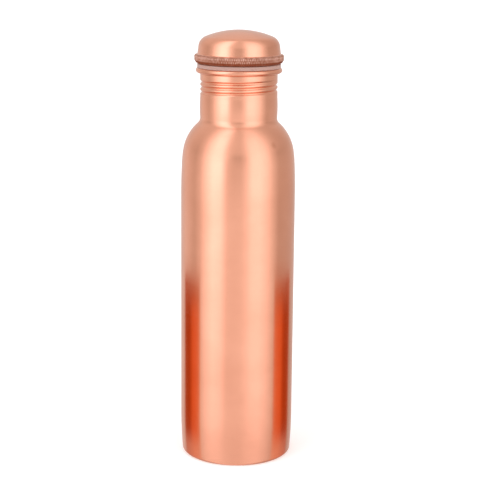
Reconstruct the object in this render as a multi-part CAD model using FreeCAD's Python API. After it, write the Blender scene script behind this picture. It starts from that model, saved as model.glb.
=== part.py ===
# Copper water bottle with a screw lid.
# Millimetres. +Z is up, the origin is the centre of the base where it stands on a table.
# The thread is right-handed, so the lid opens anticlockwise seen from above.

import math
import os

import FreeCAD
import Part

# ---- driving dimensions -------------------------------------------------------------

sheet = 0.6                     # copper sheet, the same everywhere

body_diameter = 72.6
body_height = 250.9             # table to the top of the lip, lid off
neck_diameter = 48.6            # outside, between the thread's grooves
neck_length = 31.5              # end of the shoulder's fillet to the top of the lip

foot_corner_radius = 2.4        # where the side turns under
foot_taper_height = 28.0        # the side leans in over this height above the table
foot_taper_radius = 350.0
foot_ring_width = 2.6           # flat ring that the bottle stands on
base_recess = 1.0               # the base plate is raised by this inside the ring
base_step_run = 1.6             # horizontal run of the slope from the ring to the plate

shoulder_ease_radii = (400.0, 80.0)    # two long arcs lead from the side into the shoulder
shoulder_ease_angles = (3.0, 8.0)      # degrees of lean where each of them ends
shoulder_radius = 28.6
neck_fillet_radius = 4.7

lip_curl_radius = 1.7           # outside of the rolled lip
lip_curl_sweep = 295.0          # degrees from the inner wall, over the top and back under

thread_pitch = 3.1
thread_turns = 3.0
thread_below_lip = 16.8         # top of the lip to the thread's lower end
thread_depth = 0.8
thread_round = 0.45             # radius of the groove's bottom on the outside
thread_flank_angle = 45.0       # between a flank and the radius
thread_fade = 90.0              # degrees over which each end of the thread dies away
thread_clearance = 0.35         # between the neck's rolled ridge and the plug's groove
plug_clearance = 0.4            # radial, between the neck's wall and the plug's wall

gasket_diameter = 52.4
gasket_thickness = 2.3
gasket_gap = 0.1                # the ring rests this close to the lip and to the lid
gasket_hole_clearance = 0.4     # radial, around the plug
gasket_edge_radius = 0.6

plug_below_thread = 1.7         # underside of the plug to the lower end of the neck's thread
plug_corner_radius = 1.6
plug_flange_clearance = 0.15    # radial, between the flange and the bead's inner curve
plug_wall_behind_groove = 0.5

lid_height = 20.8               # underside of the lid's rim to the top of the dome
bead_diameter = 56.1            # over the grip bead
bead_height = 5.6
bead_top_radius = 1.0
bead_bottom_radius = 3.0
skirt_diameter = 52.3           # the dome's side where it meets the bead
dome_flare_angle = 7.0          # the side leans in by this from the vertical
dome_knuckle_radius = 7.2       # where the side turns into the crown
dome_crown_radius = 56.0
rim_hole_clearance = 0.4        # radial, between the rim turned under the bead and the plug

# ---- sizes that follow --------------------------------------------------------------

body_radius = body_diameter / 2
neck_radius = neck_diameter / 2
neck_inner_radius = neck_radius - sheet
ridge_tip_radius = neck_inner_radius - thread_depth
thread_bottom = body_height - thread_below_lip

plug_radius = neck_inner_radius - plug_clearance
plug_groove_depth = plug_radius - ridge_tip_radius + thread_clearance
plug_bore_radius = plug_radius - plug_groove_depth - plug_wall_behind_groove
plug_bottom = thread_bottom - plug_below_thread

gasket_bottom = body_height + gasket_gap
gasket_top = gasket_bottom + gasket_thickness
lid_bottom = gasket_top + gasket_gap
lid_top = lid_bottom + lid_height


# ---- drawing helpers ----------------------------------------------------------------
# Outlines lie in the XZ plane as (radius, height) pairs and are turned about the Z axis.

def place(point, angle=0.0):
    """The 3-D point at this radius and height, at an angle in degrees around Z."""
    radius, height = point
    turn = math.radians(angle)
    return FreeCAD.Vector(radius * math.cos(turn), radius * math.sin(turn), height)


def line(start, end):
    return Part.LineSegment(place(start), place(end)).toShape()


def on_circle(centre, radius, angle):
    turn = math.radians(angle)
    return (centre[0] + radius * math.cos(turn), centre[1] + radius * math.sin(turn))


def arc(centre, radius, start_angle, end_angle):
    """Arc between two directions in degrees, 0 outward and 90 up."""
    middle_angle = (start_angle + end_angle) / 2
    points = [on_circle(centre, radius, a) for a in (start_angle, middle_angle, end_angle)]
    return Part.Arc(*[place(p) for p in points]).toShape()


def ends(edge):
    """First and last point of an edge as (radius, height)."""
    first = edge.valueAt(edge.FirstParameter)
    last = edge.valueAt(edge.LastParameter)
    return (first.x, first.z), (last.x, last.z)


def joined(edges):
    """The edges with a straight line wherever the next one starts somewhere else."""
    chain = [edges[0]]
    for edge in edges[1:]:
        gap_start = ends(chain[-1])[1]
        gap_end = ends(edge)[0]
        if math.dist(gap_start, gap_end) > 1e-6:
            chain.append(line(gap_start, gap_end))
        chain.append(edge)
    return chain


def turned(edges):
    """Solid made by turning a closed outline about the Z axis."""
    closing = line(ends(edges[-1])[1], ends(edges[0])[0])
    wire = Part.Wire(joined(edges) + [closing])
    face = Part.Face(wire)
    return face.revolve(FreeCAD.Vector(0, 0, 0), FreeCAD.Vector(0, 0, 1), 360)


# ---- the rolled thread --------------------------------------------------------------

def smooth(x):
    x = min(max(x, 0.0), 1.0)
    return x * x * (3 - 2 * x)


def thread_section(base_radius, depth, tip_round, back, size, angle):
    """Rounded V that points at the axis, on its helix at this angle.

    base_radius is the wall that it rises from and depth its height above that wall.
    Its flanks run on a little past the wall, and then straight to back behind it.
    size shrinks the whole section towards the wall.
    """
    flank = math.radians(thread_flank_angle)
    arc_rise = tip_round * (1 - math.sin(flank))
    arc_half = tip_round * math.cos(flank)
    past_wall = 0.1
    widest = arc_half + (depth - arc_rise + past_wall) * math.tan(flank)
    height = thread_bottom + thread_pitch * angle / 360

    def at(rise, half):
        return place((base_radius - size * rise, height + size * half), angle)

    lower_flank = at(depth - arc_rise, -arc_half)
    upper_flank = at(depth - arc_rise, arc_half)
    corners = [upper_flank, at(-past_wall, widest), at(-back, widest)]
    corners += [at(-back, -widest), at(-past_wall, -widest), lower_flank]
    edges = [Part.Arc(lower_flank, at(depth, 0), upper_flank).toShape()]
    for start, end in zip(corners, corners[1:]):
        edges.append(Part.LineSegment(start, end).toShape())
    return Part.Wire(edges)


def thread(base_radius, depth, tip_round, back, first, last, fade_in, fade_out):
    """Helical solid from angle first to angle last, in degrees from the thread's start."""
    smallest = 0.12
    steps = round((last - first) / 15)
    wires = []
    for step in range(steps + 1):
        angle = first + (last - first) * step / steps
        size = 1.0
        if fade_in:
            size = min(size, smooth((angle - first) / fade_in))
        if fade_out:
            size = min(size, smooth((last - angle) / fade_out))
        size = max(size, smallest)
        wires.append(thread_section(base_radius, depth, tip_round, back, size, angle))
    return Part.makeLoft(wires, True, False)


# ---- bottle -------------------------------------------------------------------------

def bottle_wall(inset):
    """Edges of the wall from the foot to the neck, moved in from the outside by inset."""
    taper = math.asin((foot_taper_height - foot_corner_radius)
                      / (foot_taper_radius - foot_corner_radius))
    taper_centre = (body_radius - foot_taper_radius, foot_taper_height)
    corner_reach = foot_taper_radius - foot_corner_radius
    corner_centre = (taper_centre[0] + corner_reach * math.cos(taper), foot_corner_radius)
    lean = -math.degrees(taper)
    edges = [
        arc(corner_centre, foot_corner_radius - inset, -90, lean),
        arc(taper_centre, foot_taper_radius - inset, lean, 0),
    ]

    # The shoulder's steepest lean is the one that ends exactly on the neck.
    ease_one, ease_two = shoulder_ease_radii
    lean_one, lean_two = [math.radians(a) for a in shoulder_ease_angles]
    drop = body_radius - neck_radius
    drop -= ease_one * (1 - math.cos(lean_one))
    drop -= ease_two * (math.cos(lean_one) - math.cos(lean_two))
    steepest = math.acos((shoulder_radius * math.cos(lean_two) + neck_fillet_radius - drop)
                         / (shoulder_radius + neck_fillet_radius))

    # From the neck down: fillet, shoulder, the two ease arcs, then the straight side.
    neck_start = body_height - neck_length
    fillet_centre = (neck_radius + neck_fillet_radius, neck_start)
    reach = neck_fillet_radius + shoulder_radius
    steep_degrees = math.degrees(steepest)
    shoulder_centre = on_circle(fillet_centre, reach, 180 + steep_degrees)
    two_centre = on_circle(shoulder_centre, ease_two - shoulder_radius,
                           180 + shoulder_ease_angles[1])
    one_centre = on_circle(two_centre, ease_one - ease_two, 180 + shoulder_ease_angles[0])
    edges += [
        arc(one_centre, ease_one - inset, 0, shoulder_ease_angles[0]),
        arc(two_centre, ease_two - inset, *shoulder_ease_angles),
        arc(shoulder_centre, shoulder_radius - inset, shoulder_ease_angles[1], steep_degrees),
        arc(fillet_centre, neck_fillet_radius + inset, 180 + steep_degrees, 180),
    ]
    return edges


def base_underside(inset):
    """Edges from the axis to the foot's outer corner."""
    ring_outer = ends(bottle_wall(0)[0])[0][0]
    ring_inner = ring_outer - foot_ring_width
    plate_edge = ring_inner - base_step_run
    plate = line((0, base_recess + inset), (plate_edge, base_recess + inset))
    ring = line((ring_inner, inset), (ring_outer, inset))
    return [plate, ring]


def bottle_shell():
    """One piece of copper: base, side, shoulder, neck with its rolled thread, curled lip."""
    curl_centre = (neck_inner_radius + lip_curl_radius, body_height - lip_curl_radius)
    curl_end = 180 - lip_curl_sweep
    outside = base_underside(0) + bottle_wall(0)
    curl = [
        arc(curl_centre, lip_curl_radius - sheet, 180, curl_end),
        arc(curl_centre, lip_curl_radius, curl_end, 180),
    ]
    inside = []
    for edge in reversed(base_underside(sheet) + bottle_wall(sheet)):
        start, end = ends(edge)
        if isinstance(edge.Curve, Part.Circle):
            middle = edge.valueAt((edge.FirstParameter + edge.LastParameter) / 2)
            inside.append(Part.Arc(place(end), middle, place(start)).toShape())
        else:
            inside.append(line(end, start))
    shell = turned(outside + curl + inside)

    sweep = 360 * thread_turns
    groove = thread(neck_radius, thread_depth, thread_round, sheet,
                    0, sweep, thread_fade, thread_fade)
    ridge = thread(neck_inner_radius, thread_depth, thread_round + sheet, sheet / 3,
                   0, sweep, thread_fade, thread_fade)
    return shell.fuse(ridge).cut(groove)


# ---- sealing ring -------------------------------------------------------------------

def gasket():
    """Silicone ring around the plug, squeezed between the lid's rim and the lip."""
    inner = plug_radius + gasket_hole_clearance
    outer = gasket_diameter / 2
    edge = gasket_edge_radius
    low_corner = (outer - edge, gasket_bottom + edge)
    high_corner = (outer - edge, gasket_top - edge)
    return turned([
        line((inner, gasket_bottom), (outer - edge, gasket_bottom)),
        arc(low_corner, edge, -90, 0),
        arc(high_corner, edge, 0, 90),
        line((outer - edge, gasket_top), (inner, gasket_top)),
    ])


# ---- lid ----------------------------------------------------------------------------

def dome_outline(inset):
    """Edges from the top of the dome to the hole in the rim, moved in by inset."""
    crown_centre = (0, lid_top - dome_crown_radius)
    skirt_radius = skirt_diameter / 2
    bead_radius = bead_diameter / 2
    bead_top = lid_bottom + bead_height

    # The knuckle touches the crown from inside and the leaning side from inside.
    lean = math.radians(dome_flare_angle)
    reach = dome_crown_radius - dome_knuckle_radius

    def side_radius(height):
        return skirt_radius - (height - bead_top) * math.tan(lean)

    def knuckle_error(height):
        radius = side_radius(height) - dome_knuckle_radius / math.cos(lean)
        return math.dist((radius, height), crown_centre) - reach

    low, high = bead_top, lid_top
    for _ in range(60):
        middle = (low + high) / 2
        if knuckle_error(middle) > 0:
            high = middle
        else:
            low = middle
    knuckle_radius = side_radius(low) - dome_knuckle_radius / math.cos(lean)
    knuckle_centre = (knuckle_radius, low)
    crown_edge = math.degrees(math.atan2(low - crown_centre[1], knuckle_radius))

    top_centre = (bead_radius - bead_top_radius, bead_top - bead_top_radius)
    bottom_centre = (bead_radius - bead_bottom_radius, lid_bottom + bead_bottom_radius)
    side_end = (skirt_radius - inset / math.cos(lean), bead_top - inset)
    rim_hole = plug_radius + rim_hole_clearance
    bead_start = (top_centre[0], bead_top - inset)
    rim_start = (bottom_centre[0], lid_bottom + inset)
    return [
        arc(crown_centre, dome_crown_radius - inset, 90, crown_edge),
        arc(knuckle_centre, dome_knuckle_radius - inset, crown_edge, dome_flare_angle),
        line(side_end, bead_start),
        arc(top_centre, bead_top_radius - inset, 90, 0),
        arc(bottom_centre, bead_bottom_radius - inset, 0, -90),
        line(rim_start, (rim_hole, lid_bottom + inset)),
    ]


def backwards(edges):
    """The same outline drawn from its other end."""
    result = []
    for edge in reversed(edges):
        start, end = ends(edge)
        if isinstance(edge.Curve, Part.Circle):
            middle = edge.valueAt((edge.FirstParameter + edge.LastParameter) / 2)
            result.append(Part.Arc(place(end), middle, place(start)).toShape())
        else:
            result.append(line(end, start))
    return result


def cap_dome():
    """Spun dome whose edge rolls out into the grip bead and turns in under the plug."""
    return turned(dome_outline(0) + backwards(dome_outline(sheet)))


def cap_plug():
    """Closed copper cup that screws into the neck and hangs from the rim by its flange."""
    flange_low = lid_bottom + sheet
    flange_high = flange_low + sheet
    flange_radius = bead_diameter / 2 - bead_bottom_radius - plug_flange_clearance
    outer_corner = (plug_radius - plug_corner_radius, plug_bottom + plug_corner_radius)
    floor = plug_bottom + sheet
    cup = turned([
        line((0, plug_bottom), (outer_corner[0], plug_bottom)),
        arc(outer_corner, plug_corner_radius, -90, 0),
        line((plug_radius, flange_low), (flange_radius, flange_low)),
        line((flange_radius, flange_high), (plug_bore_radius, flange_high)),
        line((plug_bore_radius, floor), (0, floor)),
    ])
    below = 360 * (plug_bottom - thread_bottom - thread_pitch) / thread_pitch
    above = 360 * thread_turns + thread_fade
    groove = thread(plug_radius, plug_groove_depth, thread_round + sheet + thread_clearance,
                    plug_clearance, below, above, 0, thread_fade)
    return cup.cut(groove)


# ---- build --------------------------------------------------------------------------

parts = {
    "bottle_shell": bottle_shell(),
    "gasket": gasket(),
    "cap_dome": cap_dome(),
    "cap_plug": cap_plug(),
}

os.makedirs("parts", exist_ok=True)
for name, shape in parts.items():
    shape.exportStep("parts/" + name + ".step")
    box = shape.BoundBox
    print(name, "valid", shape.isValid(), "solids", len(shape.Solids), "faces", len(shape.Faces),
          "volume", round(shape.Volume), "z", round(box.ZMin, 2), round(box.ZMax, 2),
          "width", round(box.XLength, 2))
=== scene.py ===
import math

import bpy
from mathutils import Matrix


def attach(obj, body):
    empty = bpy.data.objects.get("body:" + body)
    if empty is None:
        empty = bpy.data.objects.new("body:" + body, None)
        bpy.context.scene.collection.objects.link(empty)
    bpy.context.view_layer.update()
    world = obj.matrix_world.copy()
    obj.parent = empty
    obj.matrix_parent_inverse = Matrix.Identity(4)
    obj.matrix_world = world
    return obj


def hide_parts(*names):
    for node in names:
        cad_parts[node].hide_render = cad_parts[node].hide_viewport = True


# A copper water bottle with a screw lid, in a white light tent.
# Sizes are in millimetres and become metres where a mesh is made.

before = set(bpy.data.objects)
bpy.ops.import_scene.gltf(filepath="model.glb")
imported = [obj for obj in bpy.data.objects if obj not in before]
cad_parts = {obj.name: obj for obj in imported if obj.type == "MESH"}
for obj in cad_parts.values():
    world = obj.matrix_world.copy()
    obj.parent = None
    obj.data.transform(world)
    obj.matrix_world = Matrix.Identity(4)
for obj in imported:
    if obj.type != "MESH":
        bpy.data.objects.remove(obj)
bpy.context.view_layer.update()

MM = 0.001

# ---- sizes --------------------------------------------------------------------------

sheet = 0.6                     # copper sheet

body_radius = 36.27
body_height = 250.9             # table to the top of the lip
neck_radius = 24.3
neck_length = 31.5
neck_bulge = 0.22               # the neck is slightly barrel-shaped below the thread

foot_corner_radius = 2.4
foot_taper_height = 28.0
foot_taper_radius = 350.0
foot_ring_width = 2.6
base_recess = 1.0
base_step_run = 1.6

shoulder_radius = 28.6
neck_fillet_radius = 4.7

lip_curl_radius = 1.7
lip_curl_sweep = 295.0
lip_edge_round = 6.0            # degrees that the cut edge bulges past the curl's end
crease_core = 0.27              # painted shade in the crease under the lip, full to here
crease_reach = 0.9              # and fading out over this

bruise_height = 205.5           # dull spot on the shoulder
bruise_turn = 311.0             # degrees anticlockwise from +X
bruise_radius = 3.0
bruise_stain = 0.26

thread_pitch = 3.1
thread_turns = 3.0
thread_bottom = body_height - 16.8
thread_depth = 0.85
thread_sharpness = 1.4          # more than 1 narrows the grooves
thread_fade = 90.0              # degrees over which each end dies away
# The neck's wall waves between these two heights.
thread_low = thread_bottom - 1.2
thread_high = thread_bottom + thread_pitch * thread_turns + 1.6

gasket_radius = 26.2
gasket_hole = 23.7
gasket_bottom = body_height + 0.1
gasket_top = gasket_bottom + 2.3

lid_bottom = gasket_top + 0.1
lid_top = lid_bottom + 20.8
bead_radius = 28.05
bead_height = 5.6
bead_top_round = 1.0
bead_bottom_round = 3.0
skirt_radius = 26.15
skirt_corner = 0.35             # height of the corner between the dome's side and the bead
rim_gap = 0.4                   # between the turned-in rim and the plug
dome_flare = 7.0                # degrees that the dome's side leans in
dome_knuckle = 7.2
dome_crown = 56.0
knurl_count = 160               # diamonds round the grip bead, 1.1 mm apart; the real ones are 0.8
knurl_rows = 2.0                # rows of diamonds over the bead's height
knurl_depth = 0.35
knurl_sharpness = 1.3           # more than 1 narrows the cuts

plug_radius = 23.3
plug_bore = 22.05
plug_bottom = thread_bottom - 1.7
plug_corner = 1.6
plug_flange_radius = 24.9
plug_thread_depth = 0.75
plug_thread_sharpness = 0.8
plug_thread_top = body_height - 3.5


# ---- outlines -----------------------------------------------------------------------
# An outline is a list of (radius, height) points that is turned about the Z axis.

def on_circle(centre, radius, angle):
    turn = math.radians(angle)
    return (centre[0] + radius * math.cos(turn), centre[1] + radius * math.sin(turn))


def arc(centre, radius, start, end, steps):
    """Points along an arc between two directions in degrees, 0 outward and 90 up."""
    return [on_circle(centre, radius, start + (end - start) * i / steps)
            for i in range(steps + 1)]


def straight(start, end, steps):
    return [(start[0] + (end[0] - start[0]) * i / steps,
             start[1] + (end[1] - start[1]) * i / steps) for i in range(steps + 1)]


def smooth(x):
    x = min(max(x, 0.0), 1.0)
    return x * x * (3 - 2 * x)


# ---- turned meshes ------------------------------------------------------------------

def plain(radius, height, row, turn):
    return radius, height, 0.0


def turned(name, outline, columns, relief=plain):
    """Mesh turned from an outline, closed at the axis or joined end to end.

    relief(radius, height, row, turn) gives one vertex's moved radius and height and how far its
    colour is darkened, by stains or by painted shade, where row is its place in the outline and
    turn its angle in degrees.
    """
    vertices = []
    stain_and_shade = []
    rings = []
    for row, (radius, height) in enumerate(outline):
        if radius < 1e-6:
            rings.append([len(vertices)])
            vertices.append((0, 0, height * MM))
            stain_and_shade.append(0.0)
            continue
        ring = []
        for column in range(columns):
            turn = 360 * column / columns
            r, z, stain = relief(radius, height, row, turn)
            angle = math.radians(turn)
            ring.append(len(vertices))
            stain_and_shade.append(stain)
            vertices.append((r * math.cos(angle) * MM, r * math.sin(angle) * MM, z * MM))
        rings.append(ring)
    closed = len(rings[0]) > 1 and len(rings[-1]) > 1
    pairs = list(zip(rings, rings[1:]))
    if closed:
        pairs.append((rings[-1], rings[0]))
    faces = []
    for lower, upper in pairs:
        for column in range(columns):
            after = (column + 1) % columns
            if len(lower) == 1:
                faces.append((lower[0], upper[after], upper[column]))
            elif len(upper) == 1:
                faces.append((lower[column], lower[after], upper[0]))
            else:
                faces.append((lower[column], lower[after], upper[after], upper[column]))
    mesh = bpy.data.meshes.new(name)
    mesh.from_pydata(vertices, [], faces)
    mesh.validate()
    mesh.shade_smooth()
    mesh.set_sharp_from_angle(angle=math.radians(55))
    # Kept on the mesh, so that the copper can darken there, both for stains and for painted shade.
    stained_and_shaded = mesh.attributes.new("stain_and_shade", "FLOAT", "POINT")
    stained_and_shaded.data.foreach_set("value", stain_and_shade)
    mesh.update()
    piece = bpy.data.objects.new(name, mesh)
    bpy.context.collection.objects.link(piece)
    return piece


def thread_wave(height, turn):
    """Where a point is on the thread.

    Gives the degrees along the thread to the nearest groove's middle, and the wave there,
    from 0 on a crest to 1 in the groove.
    """
    lead = (height - thread_bottom) / thread_pitch - turn / 360
    nearest = round(lead)
    return turn + 360 * nearest, 0.5 + 0.5 * math.cos(2 * math.pi * (lead - nearest))


# ---- bottle -------------------------------------------------------------------------

def bottle_wall(inset):
    """Points from the foot's corner up to the start of the neck, moved in by inset."""
    taper = math.asin((foot_taper_height - foot_corner_radius)
                      / (foot_taper_radius - foot_corner_radius))
    taper_centre = (body_radius - foot_taper_radius, foot_taper_height)
    reach = foot_taper_radius - foot_corner_radius
    corner_centre = (taper_centre[0] + reach * math.cos(taper), foot_corner_radius)
    lean = -math.degrees(taper)

    # The side eases into the shoulder by two large arcs, each to its own lean in degrees.
    ease_one = 400.0
    lean_one = 3.0
    ease_two = 80.0
    lean_two = 8.0
    drop = body_radius - neck_radius
    drop -= ease_one * (1 - math.cos(math.radians(lean_one)))
    drop -= ease_two * (math.cos(math.radians(lean_one)) - math.cos(math.radians(lean_two)))
    steepest = math.degrees(math.acos(
        (shoulder_radius * math.cos(math.radians(lean_two)) + neck_fillet_radius - drop)
        / (shoulder_radius + neck_fillet_radius)))
    fillet_centre = (neck_radius + neck_fillet_radius, body_height - neck_length)
    shoulder_centre = on_circle(fillet_centre, neck_fillet_radius + shoulder_radius,
                                180 + steepest)
    two_centre = on_circle(shoulder_centre, ease_two - shoulder_radius, 180 + lean_two)
    one_centre = on_circle(two_centre, ease_one - ease_two, 180 + lean_one)

    foot = arc(corner_centre, foot_corner_radius - inset, -90, lean, 10)
    foot += arc(taper_centre, foot_taper_radius - inset, lean, 0, 14)
    shoulder = arc(one_centre, ease_one - inset, 0, lean_one, 12)
    shoulder += arc(two_centre, ease_two - inset, lean_one, lean_two, 8)[1:]
    shoulder += arc(shoulder_centre, shoulder_radius - inset, lean_two, steepest, 26)[1:]
    shoulder += arc(fillet_centre, neck_fillet_radius + inset, 180 + steepest, 180, 14)[1:]
    side = straight(foot[-1], shoulder[0], 24)[1:-1]
    return foot + side + shoulder


def neck_wall(inset):
    """Points up the neck, close together where the thread is, to the start of the lip."""
    low = body_height - neck_length
    top = body_height - lip_curl_radius
    points = []
    for radius, height in straight((neck_radius, low), (neck_radius, thread_low), 18)[1:]:
        swell = neck_bulge * math.sin(math.pi * (height - low) / (thread_low - low))
        points.append((radius + swell - inset, height))
    points += straight((neck_radius - inset, thread_low), (neck_radius - inset, thread_high),
                       110)[1:]
    points += straight((neck_radius - inset, thread_high), (neck_radius - inset, top), 12)[1:]
    return points


def make_bottle():
    foot_outside = bottle_wall(0)
    ring_outer = foot_outside[0][0]
    ring_inner = ring_outer - foot_ring_width
    plate_edge = ring_inner - base_step_run

    def underside(inset):
        plate = straight((0, base_recess + inset), (plate_edge, base_recess + inset), 12)
        step = straight(plate[-1], (ring_inner, inset), 4)[1:]
        ring = straight((ring_inner, inset), (ring_outer, inset), 3)[1:-1]
        return plate + step + ring

    curl_centre = (neck_radius - sheet + lip_curl_radius, body_height - lip_curl_radius)
    curl_end = 180 - lip_curl_sweep
    outside = underside(0) + foot_outside + neck_wall(0)
    curl = arc(curl_centre, lip_curl_radius - sheet, 180, curl_end, 34)[1:]
    edge = on_circle(curl_centre, lip_curl_radius - sheet / 2, curl_end - lip_edge_round)
    curl += [edge] + arc(curl_centre, lip_curl_radius, curl_end, 180, 44)
    inside = underside(sheet) + bottle_wall(sheet) + neck_wall(sheet)
    outline = outside + curl + list(reversed(inside))[1:]
    # Deepest place between the curl and the neck.
    crease = (neck_radius + 0.4, body_height - 2 * lip_curl_radius + 0.3)

    def rolled(radius, height, row, turn):
        # Painted shade darkens the crease under the lip; the bruise on the shoulder is a stain.
        from_crease = math.dist((radius, height), crease)
        stain = smooth(1 + (crease_core - from_crease) / crease_reach)
        around = math.radians(turn - bruise_turn) * radius
        from_bruise = math.hypot(around, height - bruise_height)
        stain += bruise_stain * smooth(1 - from_bruise / bruise_radius)
        if thread_low < height < thread_high:
            along, wave = thread_wave(height, turn)
            fade_in = smooth(along / thread_fade)
            fade_out = smooth((360 * thread_turns - along) / thread_fade)
            radius -= thread_depth * fade_in * fade_out * wave ** thread_sharpness
        return radius, height, stain

    return turned("bottle_body", outline, 384, rolled)


# ---- sealing ring -------------------------------------------------------------------

def make_gasket():
    """Moulded ring, pressed a little over the round of the lip under it."""
    top_edge = 0.5
    low_edge = 0.15
    sag = 0.15
    lip_crown = neck_radius - sheet + lip_curl_radius
    low_centre = (gasket_radius - low_edge, gasket_bottom - sag + low_edge)
    outline = straight((gasket_hole, gasket_bottom), (lip_crown, gasket_bottom), 6)
    outline += arc(low_centre, low_edge, -90, 0, 4)
    outline += arc((gasket_radius - top_edge, gasket_top - top_edge), top_edge, 0, 90, 8)
    outline += straight(outline[-1], (gasket_hole, gasket_top), 6)[1:]
    return turned("silicone_ring", outline, 256)


# ---- lid ----------------------------------------------------------------------------

def dome_outline(inset):
    """Points from the top of the dome to the hole in the turned-in rim."""
    crown_centre = (0, lid_top - dome_crown)
    bead_top = lid_bottom + bead_height
    lean = math.radians(dome_flare)

    def knuckle_place(height):
        side = skirt_radius - (height - bead_top) * math.tan(lean)
        return (side - dome_knuckle / math.cos(lean), height)

    low, high = bead_top, lid_top
    for _ in range(60):
        middle = (low + high) / 2
        if math.dist(knuckle_place(middle), crown_centre) > dome_crown - dome_knuckle:
            high = middle
        else:
            low = middle
    knuckle = knuckle_place(low)
    crown_edge = math.degrees(math.atan2(low - crown_centre[1], knuckle[0]))

    top_centre = (bead_radius - bead_top_round, bead_top - bead_top_round)
    bottom_centre = (bead_radius - bead_bottom_round, lid_bottom + bead_bottom_round)
    # The knurled outside needs many points, the hidden inside few.
    detail = 1 if inset else 3
    crown = arc(crown_centre, dome_crown - inset, 90, crown_edge, 6 * detail)
    crown[0] = (0, crown[0][1])
    bend = arc(knuckle, dome_knuckle - inset, crown_edge, dome_flare, 5 * detail)[1:]
    side_end = (skirt_radius - inset / math.cos(lean), bead_top - inset + skirt_corner)
    side = straight(bend[-1], side_end, 2 * detail)[1:]
    bead = arc(top_centre, bead_top_round - inset, 90, 0, 3 * detail)
    bead += straight(bead[-1], on_circle(bottom_centre, bead_bottom_round - inset, 0),
                     5 * detail)[1:]
    bead += arc(bottom_centre, bead_bottom_round - inset, 0, -90, 7 * detail)[1:]
    rim = straight(bead[-1], (plug_radius + rim_gap, lid_bottom + inset), detail)[1:]
    return crown, bend + side, bead, rim


def make_dome():
    crown, side, bead, rim = dome_outline(0)
    inner_crown, inner_side, inner_bead, inner_rim = dome_outline(sheet)
    outline = crown + side + bead + rim
    outline += list(reversed(inner_crown + inner_side + inner_bead + inner_rim))
    bead_start = len(crown) + len(side)
    travel = [0.0]
    for start, end in zip(bead, bead[1:]):
        travel.append(travel[-1] + math.dist(start, end))
    length = travel[-1]
    # Shares of the way round the bead, from the corner above it to the rim under it.
    corner_end = 0.06
    cuts_full = 0.08
    cuts_end = 0.90
    cuts_fade = 0.14
    low_half = 0.38
    low_fade = 0.25
    # How much painted shade darkens the corner above the bead and its lower, downward-facing half,
    # where the cuts are 1.
    corner_shade = 0.6
    low_shade = 0.4

    def knurled(radius, height, row, turn):
        """Two sets of crossing cuts leave rows of small diamonds."""
        stain = 0.0
        if bead_start <= row < bead_start + len(bead):
            place = travel[row - bead_start] / length
            around = knurl_count * turn / 360
            up = knurl_rows * place
            one = abs(2 * ((around + up) % 1) - 1)
            other = abs(2 * ((around - up) % 1) - 1)
            ends = smooth(place / cuts_full) * smooth((cuts_end - place) / cuts_fade)
            cut = (1 - min(one, other)) ** knurl_sharpness * ends
            # Darker in the cuts; painted shade in the corner above them and on the lower half.
            stain = cut + corner_shade * smooth(1 - place / corner_end)
            stain += low_shade * smooth((place - low_half) / low_fade)
            radius -= knurl_depth * cut
        return radius, height, stain

    columns = knurl_count * 8
    dome = turned("lid_dome", outline, columns, knurled)
    dome.data.materials.append(lid_copper)
    dome.data.materials.append(knurled_copper)
    for face in dome.data.polygons:
        row = (min(face.vertices) - 1) // columns + 1
        if bead_start - 1 <= row < bead_start + len(bead) - 1:
            face.material_index = 1
    return dome


def make_plug():
    """Closed cup with the lid's thread, hung by its flange in the dome's rim."""
    flange_low = lid_bottom + sheet
    flange_high = flange_low + sheet
    corner = (plug_radius - plug_corner, plug_bottom + plug_corner)
    floor = plug_bottom + sheet
    outline = straight((0, plug_bottom), (corner[0], plug_bottom), 14)
    outline += arc(corner, plug_corner, -90, 0, 10)[1:]
    outline += straight((plug_radius, corner[1]), (plug_radius, plug_thread_top), 130)[1:]
    outline += straight((plug_radius, plug_thread_top), (plug_radius, flange_low), 8)[1:]
    outline += straight((plug_radius, flange_low), (plug_flange_radius, flange_low), 3)[1:]
    outline += straight((plug_flange_radius, flange_high), (plug_bore, flange_high), 3)
    outline += straight((plug_bore, flange_high), (plug_bore, floor), 10)[1:]
    outline += straight((plug_bore, floor), (0, floor), 8)[1:]

    def rolled(radius, height, row, turn):
        if radius > plug_radius - 0.01 and height < body_height:
            along, wave = thread_wave(height, turn)
            fade_out = smooth((360 * thread_turns + thread_fade - along) / thread_fade)
            radius -= plug_thread_depth * fade_out * wave ** plug_thread_sharpness
        return radius, height, 0.0

    return turned("lid_plug", outline, 384, rolled)


# ---- materials ----------------------------------------------------------------------

def colour(hex_code):
    """An sRGB hex colour as linear RGBA."""
    channels = []
    for start in (0, 2, 4):
        value = int(hex_code[start:start + 2], 16) / 255
        if value <= 0.04045:
            channels.append(value / 12.92)
        else:
            channels.append(((value + 0.055) / 1.055) ** 2.4)
    return (*channels, 1.0)


def add(tree, kind, inputs=None, stops=(), **settings):
    """Adds a node. inputs maps a socket's name or number to a value or a linked output.

    stops are the (position, linear RGB) of a colour ramp.
    """
    node = tree.nodes.new(kind)
    for name, value in settings.items():
        setattr(node, name, value)
    for name, value in (inputs or {}).items():
        if isinstance(value, bpy.types.NodeSocket):
            tree.links.new(value, node.inputs[name])
        else:
            node.inputs[name].default_value = value
    for index, (position, rgb) in enumerate(stops):
        elements = node.color_ramp.elements
        element = elements[index] if index < 2 else elements.new(position)
        element.position = position
        element.color = (*rgb, 1.0)
    return node


def new_material(name):
    material = bpy.data.materials.new(name)
    material.use_nodes = True
    material.node_tree.nodes.clear()
    return material, material.node_tree


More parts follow.
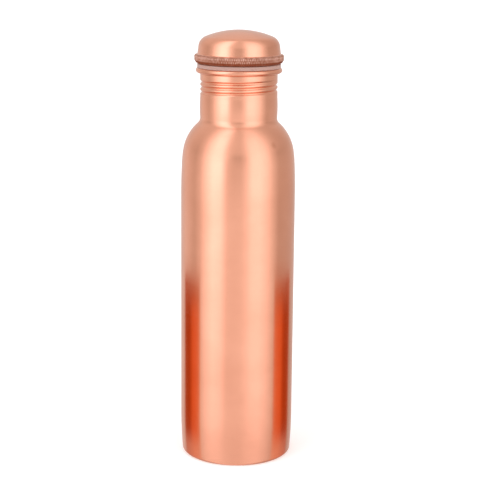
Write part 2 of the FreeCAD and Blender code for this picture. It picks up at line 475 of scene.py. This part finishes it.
def satin_copper(name, light, dark, roughness, mark_depth):
    """Copper turned on a lathe and satin-polished.

    It looks soft and slightly cloudy, with hair-fine rings round the axis that
    stretch each highlight along it. It turns brown where the mesh is marked: a stain on the
    shoulder, and painted shade in the crease under the lip.
    """
    material, tree = new_material(name)
    place = add(tree, "ShaderNodeTexCoord").outputs["Object"]

    # Polishing rings: 0.7 mm apart along the axis, and 40 mm long round it. The real ones
    # are about 0.2 mm apart, too fine to show.
    rings_place = add(tree, "ShaderNodeMapping", {
        "Vector": place,
        "Scale": (25.0, 25.0, 1430.0),
    }).outputs["Vector"]
    rings = add(tree, "ShaderNodeTexNoise", {
        "Vector": rings_place,
        "Scale": 1.0,
        "Detail": 3.0,
        "Roughness": 0.6,
    }).outputs["Fac"]

    # Clouding from handling and polishing, patches about 30 mm across.
    clouds = add(tree, "ShaderNodeTexNoise", {
        "Vector": place,
        "Scale": 33.0,
        "Detail": 4.0,
        "Roughness": 0.55,
    }).outputs["Fac"]
    tone = add(tree, "ShaderNodeMapRange", {
        "Value": clouds,
        "From Min": 0.35,
        "From Max": 0.7,
    }).outputs["Result"]
    tint = add(tree, "ShaderNodeMix", {
        0: tone,
        6: colour(light),
        7: colour(dark),
    }, data_type="RGBA").outputs[2]
    # Browner where the mesh is marked: a stain on the shoulder, painted shade in the crease under
    # the lip and at the knurled bead's edge.
    stain_and_shade = add(tree, "ShaderNodeAttribute", attribute_name="stain_and_shade").outputs["Fac"]
    stained_and_shaded = add(tree, "ShaderNodeMix", {
        0: stain_and_shade,
        6: tint,
        7: colour("B4613F"),
    }, data_type="RGBA").outputs[2]
    gloss = add(tree, "ShaderNodeMapRange", {
        "Value": rings,
        "From Min": 0.3,
        "From Max": 0.7,
        "To Min": roughness - 0.02,
        "To Max": roughness + 0.03,
    }).outputs["Result"]
    bump = add(tree, "ShaderNodeBump", {
        "Height": rings,
        "Strength": 0.35,
        "Distance": mark_depth * MM,
    }).outputs["Normal"]
    around = add(tree, "ShaderNodeTangent", direction_type="RADIAL", axis="Z")
    surface = add(tree, "ShaderNodeBsdfPrincipled", {
        "Base Color": stained_and_shaded,
        "Metallic": 1.0,
        "Roughness": gloss,
        "Anisotropic": 0.5,
        "Anisotropic Rotation": 0.25,
        "Tangent": around.outputs["Tangent"],
        "Normal": bump,
    })
    add(tree, "ShaderNodeOutputMaterial", {"Surface": surface.outputs["BSDF"]})
    return material


def knurled_band(name):
    """Copper pressed into small diamonds by a knurling wheel.

    The crests are scuffed pale by fingers and the cuts are darker brown; painted shade darkens the
    corner above the bead and its lower half.
    """
    material, tree = new_material(name)
    place = add(tree, "ShaderNodeTexCoord").outputs["Object"]
    stain_and_shade = add(tree, "ShaderNodeAttribute", attribute_name="stain_and_shade").outputs["Fac"]
    # Uneven pressing and tarnish, in patches about 2 mm across.
    uneven = add(tree, "ShaderNodeTexNoise", {
        "Vector": place,
        "Scale": 500.0,
        "Detail": 3.0,
        "Roughness": 0.6,
    }).outputs["Fac"]
    # The mesh's darkening is added in: darker in the cuts, and painted shade in the corner above
    # the bead and on its lower half.
    worn_and_shaded = add(tree, "ShaderNodeMath", {0: uneven, 1: 0.9, 2: stain_and_shade}, operation="MULTIPLY_ADD")
    tone = add(tree, "ShaderNodeMapRange", {
        "Value": worn_and_shaded.outputs[0],
        "From Min": 0.40,
        "From Max": 1.35,
    }).outputs["Result"]
    tint = add(tree, "ShaderNodeMix", {
        0: tone,
        6: colour("FAD3C0"),
        7: colour("9C5638"),
    }, data_type="RGBA").outputs[2]
    bump = add(tree, "ShaderNodeBump", {
        "Height": uneven,
        "Strength": 0.5,
        "Distance": 0.05 * MM,
    }).outputs["Normal"]
    surface = add(tree, "ShaderNodeBsdfPrincipled", {
        "Base Color": tint,
        "Metallic": 1.0,
        "Roughness": 0.5,
        "Normal": bump,
    })
    add(tree, "ShaderNodeOutputMaterial", {"Surface": surface.outputs["BSDF"]})
    return material


def silicone():
    """Moulded food-grade silicone: milky, matte and faintly see-through at its edge."""
    material, tree = new_material("moulded silicone")
    place = add(tree, "ShaderNodeTexCoord").outputs["Object"]
    # Fine mould texture, 0.3 mm.
    grain = add(tree, "ShaderNodeTexNoise", {
        "Vector": place,
        "Scale": 3300.0,
        "Detail": 2.0,
    }).outputs["Fac"]
    stain = add(tree, "ShaderNodeTexNoise", {
        "Vector": place,
        "Scale": 60.0,
        "Detail": 3.0,
    }).outputs["Fac"]
    tint = add(tree, "ShaderNodeMix", {
        0: stain,
        6: colour("BF9C90"),
        7: colour("B38D81"),
    }, data_type="RGBA").outputs[2]
    bump = add(tree, "ShaderNodeBump", {
        "Height": grain,
        "Strength": 0.25,
        "Distance": 0.02 * MM,
    }).outputs["Normal"]
    surface = add(tree, "ShaderNodeBsdfPrincipled", {
        "Base Color": tint,
        "Roughness": 0.5,
        "IOR": 1.41,
        "Subsurface Weight": 0.25,
        "Subsurface Scale": 0.002,
        "Subsurface Radius": (1.0, 0.6, 0.4),
        "Normal": bump,
    })
    add(tree, "ShaderNodeOutputMaterial", {"Surface": surface.outputs["BSDF"]})
    return material


def paper():
    """Matte white studio paper with a barely visible tooth."""
    material, tree = new_material("white studio paper")
    place = add(tree, "ShaderNodeTexCoord").outputs["Object"]
    tooth = add(tree, "ShaderNodeTexNoise", {"Vector": place, "Scale": 900.0}).outputs["Fac"]
    bump = add(tree, "ShaderNodeBump", {
        "Height": tooth,
        "Strength": 0.1,
        "Distance": 0.05 * MM,
    }).outputs["Normal"]
    surface = add(tree, "ShaderNodeBsdfPrincipled", {
        "Base Color": colour("FBFAF9"),
        "Roughness": 0.9,
        "Emission Color": (1, 1, 1, 1),
        "Emission Strength": 0.3,
        "Normal": bump,
    })
    add(tree, "ShaderNodeOutputMaterial", {"Surface": surface.outputs["BSDF"]})
    return material


# ---- the pieces ---------------------------------------------------------------------

body_copper = satin_copper("drawn copper, satin polished", "F7B193", "F0A98B", 0.2, 0.014)
lid_copper = satin_copper("spun copper, satin polished", "F6B092", "EDA689", 0.17, 0.014)
knurled_copper = knurled_band("spun copper, knurled grip")

bottle = make_bottle()
bottle.data.materials.append(body_copper)
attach(bottle, "bottle")
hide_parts("bottle_shell")

gasket = make_gasket()
gasket.data.materials.append(silicone())
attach(gasket, "ring")
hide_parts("gasket")

dome = make_dome()
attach(dome, "lid")
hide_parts("cap_dome")

plug = make_plug()
plug.data.materials.append(lid_copper)
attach(plug, "lid")
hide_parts("cap_plug")

# ---- floor, light and camera --------------------------------------------------------

def flat_disc(name, radius, height):
    mesh = bpy.data.meshes.new(name)
    around = [math.radians(360 * i / 96) for i in range(96)]
    mesh.from_pydata([(radius * math.cos(a), radius * math.sin(a), height) for a in around],
                     [], [tuple(range(96))])
    disc = bpy.data.objects.new(name, mesh)
    bpy.context.collection.objects.link(disc)
    disc.data.materials.append(floor_paper)
    return disc


floor_paper = paper()
floor = flat_disc("floor", 12.0, 0.0)
floor.visible_glossy = False

# The light tent: a tall bright panel on each side of the lens with a dimmer gap between
# them, grey sides, a pale back and a pale top. Degrees go round from straight ahead of the
# lens side, left negative, and rise from level. Light 1 is plain white.
tent_strength = 2.0
tent_directions = (-180, -150, -128, -112, -97, -82, -66, -51, -35, -22, -9,
                   6, 17, 28, 45, 61, 75, 90, 105, 128, 150, 180)
tent_rows = [
    # Rise, how much redder than white, and the light in each direction.
    (-21.5, 0.07, (0.76, 0.66, 0.58, 0.55, 0.52, 0.80, 0.95, 0.98, 0.92, 0.85, 0.83,
                   0.85, 0.91, 0.94, 0.96, 0.86, 0.72, 0.46, 0.40, 0.44, 0.56, 0.76)),
    (-17.5, 0.02, (0.72, 0.68, 0.67, 0.60, 0.58, 0.84, 1.24, 1.50, 1.36, 1.05, 1.08,
                   1.10, 1.22, 1.37, 1.42, 1.18, 0.92, 0.49, 0.44, 0.46, 0.54, 0.72)),
    (-12.5, 0.00, (0.70, 0.71, 0.81, 0.77, 0.66, 0.84, 1.34, 1.68, 1.54, 1.08, 1.09,
                   1.14, 1.26, 1.52, 1.60, 1.26, 0.90, 0.55, 0.58, 0.58, 0.58, 0.70)),
    (-9.5, 0.00, (0.70, 0.72, 0.84, 0.79, 0.70, 0.90, 1.42, 1.84, 1.72, 0.94, 0.95,
                  0.99, 1.16, 1.60, 1.64, 1.33, 0.94, 0.66, 0.70, 0.66, 0.59, 0.70)),
    (-6.6, 0.00, (0.72, 0.75, 0.84, 0.76, 0.67, 0.90, 1.50, 2.00, 1.98, 0.92, 0.76,
                  0.78, 1.10, 1.60, 1.62, 1.34, 0.94, 0.62, 0.60, 0.62, 0.64, 0.72)),
    (1.0, 0.00, (0.72, 0.74, 0.80, 0.70, 0.62, 0.84, 1.46, 1.98, 1.96, 0.94, 0.82,
                 0.82, 1.10, 1.62, 1.64, 1.36, 0.90, 0.58, 0.57, 0.60, 0.63, 0.72)),
    (4.5, 0.00, (0.71, 0.72, 0.77, 0.68, 0.60, 0.80, 1.44, 1.96, 1.96, 0.90, 0.76,
                 0.76, 1.08, 1.64, 1.65, 1.37, 0.88, 0.55, 0.55, 0.58, 0.62, 0.71)),
    (9.5, 0.00, (0.70, 0.70, 0.74, 0.66, 0.57, 0.76, 1.42, 1.92, 1.90, 1.22, 0.51,
                 0.46, 0.95, 1.60, 1.66, 1.38, 0.86, 0.52, 0.52, 0.56, 0.62, 0.70)),
    (14.0, 0.00, (0.68, 0.70, 0.74, 0.68, 0.62, 0.82, 1.42, 1.92, 1.85, 1.00, 0.85,
                  0.84, 1.12, 1.62, 1.64, 1.36, 0.90, 0.60, 0.56, 0.58, 0.62, 0.68)),
    (48.0, 0.00, (0.84, 0.80, 0.78, 0.78, 0.84, 1.10, 1.62, 1.90, 1.85, 1.05, 0.88,
                  0.86, 1.08, 1.38, 1.50, 1.36, 1.05, 0.78, 0.66, 0.62, 0.74, 0.84)),
    (74.0, 0.00, (0.84, 0.80, 0.82, 0.95, 1.25, 1.55, 1.75, 1.65, 1.25, 0.98, 0.88,
                  0.82, 0.86, 0.98, 1.12, 1.16, 1.14, 1.05, 0.90, 0.76, 0.76, 0.84)),
    (90.0, 0.00, (0.90,) * len(tent_directions)),
]

world = bpy.data.worlds.new("light tent")
bpy.context.scene.world = world
world.use_nodes = True
tent = world.node_tree
tent.nodes.clear()

direction = add(tent, "ShaderNodeTexCoord").outputs["Generated"]
parts = add(tent, "ShaderNodeSeparateXYZ", {0: direction}).outputs
ahead = add(tent, "ShaderNodeMath", {0: parts["Y"], 1: -1.0}, operation="MULTIPLY").outputs[0]
swing = add(tent, "ShaderNodeMath", {0: parts["X"], 1: ahead}, operation="ARCTAN2").outputs[0]
round_share = add(tent, "ShaderNodeMapRange", {
    "Value": swing,
    "From Min": -math.pi,
    "From Max": math.pi,
}).outputs["Result"]
rise = add(tent, "ShaderNodeMath", {0: parts["Z"]}, operation="ARCSINE").outputs[0]


def tent_ring(redder, levels):
    """The light all the way round at one rise, as a colour."""
    stops = []
    for degrees, level in zip(tent_directions, levels):
        # The cloth's dim parts take a warm tint from the copper, its lit panels are cool.
        red = level * (1 + redder + 0.15 * max(1 - level, 0))
        blue = level * (1 - 0.11 * (1 - level))
        light = (red / tent_strength, level / tent_strength, blue / tent_strength)
        stops.append(((degrees + 180) / 360, light))
    return add(tent, "ShaderNodeValToRGB", {"Fac": round_share}, stops).outputs["Color"]


rise_below, lowest_redder, lowest_levels = tent_rows[0]
tent_light = tent_ring(lowest_redder, lowest_levels)
for row_rise, redder, levels in tent_rows[1:]:
    ring = tent_ring(redder, levels)
    above = add(tent, "ShaderNodeMapRange", {
        "Value": rise,
        "From Min": math.radians(rise_below),
        "From Max": math.radians(row_rise),
    }).outputs["Result"]
    tent_light = add(tent, "ShaderNodeMix", {
        0: above,
        6: tent_light,
        7: ring,
    }, data_type="RGBA").outputs[2]
    rise_below = row_rise

seen = add(tent, "ShaderNodeLightPath").outputs["Is Camera Ray"]
inside = add(tent, "ShaderNodeBackground", {"Color": tent_light, "Strength": tent_strength})
backdrop = add(tent, "ShaderNodeBackground", {"Color": (1, 1, 1, 1), "Strength": 1.0})
mixed = add(tent, "ShaderNodeMixShader", {
    0: seen,
    1: inside.outputs[0],
    2: backdrop.outputs[0],
})
add(tent, "ShaderNodeOutputWorld", {"Surface": mixed.outputs[0]})


card_distance = 160
card_turn = (-17, 33)           # degrees round from each side, towards the back positive
card_bottom = -130              # the card goes on under the floor's level
card_top = 88
# Colours along the card, from its front edge to its back edge.
card_lowest = [(0.00, (0.88, 0.58, 0.47)), (0.35, (0.86, 0.50, 0.38)),
               (1.00, (0.60, 0.30, 0.24))]
card_bands = [
    # Height where the band is full and where the one below it ends, then its colours.
    (-37, -50, [(0.00, (0.82, 0.32, 0.15)), (0.20, (0.84, 0.22, 0.08)),
                (0.42, (0.78, 0.17, 0.04)), (0.52, (0.54, 0.09, 0.015)),
                (0.65, (0.43, 0.07, 0.010)), (0.92, (0.44, 0.09, 0.020)),
                (1.00, (0.60, 0.30, 0.20))]),
    (76, 62, [(0.00, (0.60, 0.26, 0.15)), (0.35, (0.50, 0.17, 0.08)),
              (0.90, (0.48, 0.14, 0.07)), (1.00, (0.62, 0.36, 0.28))]),
]


def terracotta_card():
    """Painted card, glowing evenly, so that it needs no lamp of its own."""
    material, tree = new_material("terracotta card")
    place = add(tree, "ShaderNodeTexCoord").outputs["Object"]
    axes = add(tree, "ShaderNodeSeparateXYZ", {0: place}).outputs
    along = add(tree, "ShaderNodeMapRange", {
        "Value": axes["Y"],
        "From Min": card_distance * math.sin(math.radians(card_turn[0])) * MM,
        "From Max": card_distance * math.sin(math.radians(card_turn[1])) * MM,
    }).outputs["Result"]
    tint = add(tree, "ShaderNodeValToRGB", {"Fac": along}, card_lowest).outputs["Color"]
    for full, start, stops in card_bands:
        band = add(tree, "ShaderNodeValToRGB", {"Fac": along}, stops).outputs["Color"]
        above = add(tree, "ShaderNodeMapRange", {
            "Value": axes["Z"],
            "From Min": start * MM,
            "From Max": full * MM,
        }).outputs["Result"]
        tint = add(tree, "ShaderNodeMix", {
            0: above,
            6: tint,
            7: band,
        }, data_type="RGBA").outputs[2]
    glow = add(tree, "ShaderNodeEmission", {"Color": tint, "Strength": 1.0})
    add(tree, "ShaderNodeOutputMaterial", {"Surface": glow.outputs[0]})
    return material


def warm_card(side, material):
    """Low curved card beside the bottle, out of view, that warms the copper's low sides."""
    columns = 24
    vertices = []
    for column in range(columns + 1):
        turn = math.radians(card_turn[0] + (card_turn[1] - card_turn[0]) * column / columns)
        x = side * card_distance * math.cos(turn) * MM
        y = card_distance * math.sin(turn) * MM
        vertices += [(x, y, card_bottom * MM), (x, y, card_top * MM)]
    faces = [(2 * i, 2 * i + 2, 2 * i + 3, 2 * i + 1) for i in range(columns)]
    mesh = bpy.data.meshes.new("warm_card")
    mesh.from_pydata(vertices, [], faces)
    card = bpy.data.objects.new("warm_card", mesh)
    bpy.context.collection.objects.link(card)
    card.data.materials.append(material)
    card.visible_camera = False
    card.visible_diffuse = False
    card.visible_shadow = False


card_paint = terracotta_card()
for side in (-1, 1):
    warm_card(side, card_paint)

camera_place = (0.0028, -0.8867, 0.3334)
camera_down = 12.36             # degrees below level
camera_roll = 0.5

camera_data = bpy.data.cameras.new("camera")
camera_data.lens = 105.2
camera_data.sensor_width = 36.0
camera_data.clip_end = 30.0
camera = bpy.data.objects.new("camera", camera_data)
bpy.context.collection.objects.link(camera)
tilt = Matrix.Rotation(math.radians(90 - camera_down), 4, "X")
roll = Matrix.Rotation(math.radians(camera_roll), 4, "Z")
camera.matrix_world = Matrix.Translation(camera_place) @ tilt @ roll
bpy.context.scene.camera = camera
bpy.context.scene.view_settings.view_transform = "Standard"
